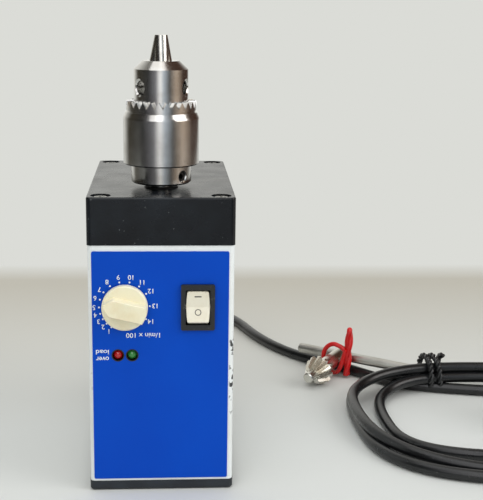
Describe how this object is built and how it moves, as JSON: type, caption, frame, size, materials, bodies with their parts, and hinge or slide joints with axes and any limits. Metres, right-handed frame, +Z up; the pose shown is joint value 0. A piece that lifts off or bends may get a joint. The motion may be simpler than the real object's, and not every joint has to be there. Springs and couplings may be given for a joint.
{
  "type": "laboratory stirrer",
  "caption": "Overhead laboratory stirrer stored upside down on its cap, with a keyed drill chuck, speed knob, rocker switch, indicator lamps, coiled mains cord and chuck key.",
  "frame": {"origin": "centre of the flat underside of the cap that the stirrer stands on", "axes": "+X to the right seen from the control panel, +Y away from the panel, +Z up along the spindle towards the chuck"},
  "size_m": [0.3296, 0.3095, 0.2105],
  "materials": {
    "white_paint": "satin",
    "black_moulding": "satin",
    "panel_foil": "satin",
    "dark_screw": "satin",
    "zinc_screw": "satin",
    "chuck_steel": "satin",
    "hard_steel": "satin",
    "black_oxide": "satin",
    "key_steel": "satin",
    "cast_plate": "matte",
    "gear_nylon": "satin",
    "brass": "satin",
    "sintered_bronze": "matte",
    "seal_rubber": "matte",
    "motor_zinc": "satin",
    "motor_plastic": "satin",
    "ferrite": "matte",
    "carbon": "matte",
    "laminations": "satin",
    "copper": "satin",
    "board": "satin",
    "components": "satin",
    "sink_aluminium": "satin",
    "terminal_green": "satin",
    "pot_metal": "satin",
    "pot_shaft": "satin",
    "knob_cream": "satin",
    "switch_black": "satin",
    "rocker_white": "satin",
    "led_red": "clear",
    "led_green": "clear",
    "led_ring": "satin",
    "gland_plastic": "matte",
    "cord_sheath": "satin",
    "tie_wire": "matte",
    "pin_nickel": "satin",
    "tie_red": "satin"
  },
  "bodies": {
    "housing": {"base_cap": "black_moulding", "base_screws": "dark_screw", "housing_shell": "white_paint", "front_panel": "panel_foil", "head_block": "black_moulding", "head_screws": "zinc_screw", "gear_plate": "cast_plate", "plate_screws": "zinc_screw", "bearing_outer_rings": "hard_steel", "shaft_seal": "seal_rubber", "motor_can": "motor_zinc", "motor_end_bell": "motor_plastic", "motor_bushes": "sintered_bronze", "motor_magnets": "ferrite", "motor_brushes": "carbon", "motor_screws": "zinc_screw", "circuit_board": "board", "board_standoffs": "brass", "board_screws": "zinc_screw", "transformer": "laminations", "capacitors": "components", "heat_sink": "sink_aluminium", "terminal_block": "terminal_green", "potentiometer": "pot_metal", "potentiometer_nut": "brass", "switch_body": "switch_black", "switch_terminals": "brass", "red_led": "led_red", "green_led": "led_green", "led_bezels": "led_ring", "rod_socket": "sink_aluminium", "rod_socket_screws": "zinc_screw", "cord_gland": "gland_plastic", "gland_nut": "gland_plastic", "power_cord": "cord_sheath", "cord_coil": "cord_sheath", "cord_tie": "tie_wire", "plug": "cord_sheath", "plug_pins": "pin_nickel", "chuck_key": "key_steel", "key_tie": "tie_red"},
    "spindle": {"spindle": "hard_steel", "spindle_gear": "gear_nylon", "gear_key": "hard_steel", "bearing_inner_rings": "hard_steel", "chuck_body": "chuck_steel", "chuck_set_screw": "black_oxide"},
    "chuck_sleeve": {"chuck_sleeve": "chuck_steel", "chuck_nut": "hard_steel"},
    "chuck_jaw_1": {"chuck_jaw_1": "chuck_steel"},
    "chuck_jaw_2": {"chuck_jaw_2": "chuck_steel"},
    "chuck_jaw_3": {"chuck_jaw_3": "chuck_steel"},
    "motor_rotor": {"motor_shaft": "hard_steel", "motor_armature": "laminations", "motor_commutator": "copper", "motor_pinion": "brass"},
    "speed_knob": {"speed_knob": "knob_cream", "potentiometer_shaft": "pot_shaft"},
    "rocker": {"rocker": "rocker_white"},
    "key_bar": {"key_bar": "key_steel"}
  },
  "joints": [
    {"name": "spindle_spin", "type": "hinge", "parent": "housing", "child": "spindle", "pos_m": [0, -0.0285, 0.1401], "axis": [0, 0, 1], "continuous": true},
    {"name": "motor_spin", "type": "hinge", "parent": "housing", "child": "motor_rotor", "pos_m": [0, 0.0015, 0.09], "axis": [0, 0, 1], "continuous": true},
    {"name": "chuck_sleeve_turn", "type": "hinge", "parent": "spindle", "child": "chuck_sleeve", "pos_m": [0, -0.0285, 0.165], "axis": [0, 0, 1], "range_deg": [0, 4050]},
    {"name": "speed_knob_turn", "type": "hinge", "parent": "housing", "child": "speed_knob", "pos_m": [-0.01655, -0.058, 0.0899], "axis": [0, 1, 0], "range_deg": [-103.5, 198.3]},
    {"name": "rocker_tilt", "type": "hinge", "parent": "housing", "child": "rocker", "pos_m": [0.01665, -0.05735, 0.0895], "axis": [1, 0, 0], "range_deg": [0, 22]},
    {"name": "key_bar_slide", "type": "slide", "parent": "housing", "child": "key_bar", "axis": [0.809, -0.5878, 0], "range_m": [-0.04, 0]},
    {"name": "chuck_jaw_1_slide", "type": "slide", "parent": "spindle", "child": "chuck_jaw_1", "axis": [0.0301, -0.2143, -0.9763], "range_m": [0, 0.018]},
    {"name": "chuck_jaw_2_slide", "type": "slide", "parent": "spindle", "child": "chuck_jaw_2", "axis": [0.1706, 0.1333, -0.9763], "range_m": [0, 0.018]},
    {"name": "chuck_jaw_3_slide", "type": "slide", "parent": "spindle", "child": "chuck_jaw_3", "axis": [-0.2007, 0.0811, -0.9763], "range_m": [0, 0.018]}
  ],
  "couplings": [
    {"joint": "spindle_spin", "follows": "motor_spin", "ratio": -0.33333},
    {"joint": "chuck_jaw_1_slide", "follows": "chuck_sleeve_turn", "m_per_rad": 0.00025465},
    {"joint": "chuck_jaw_2_slide", "follows": "chuck_sleeve_turn", "m_per_rad": 0.00025465},
    {"joint": "chuck_jaw_3_slide", "follows": "chuck_sleeve_turn", "m_per_rad": 0.00025465}
  ]
}
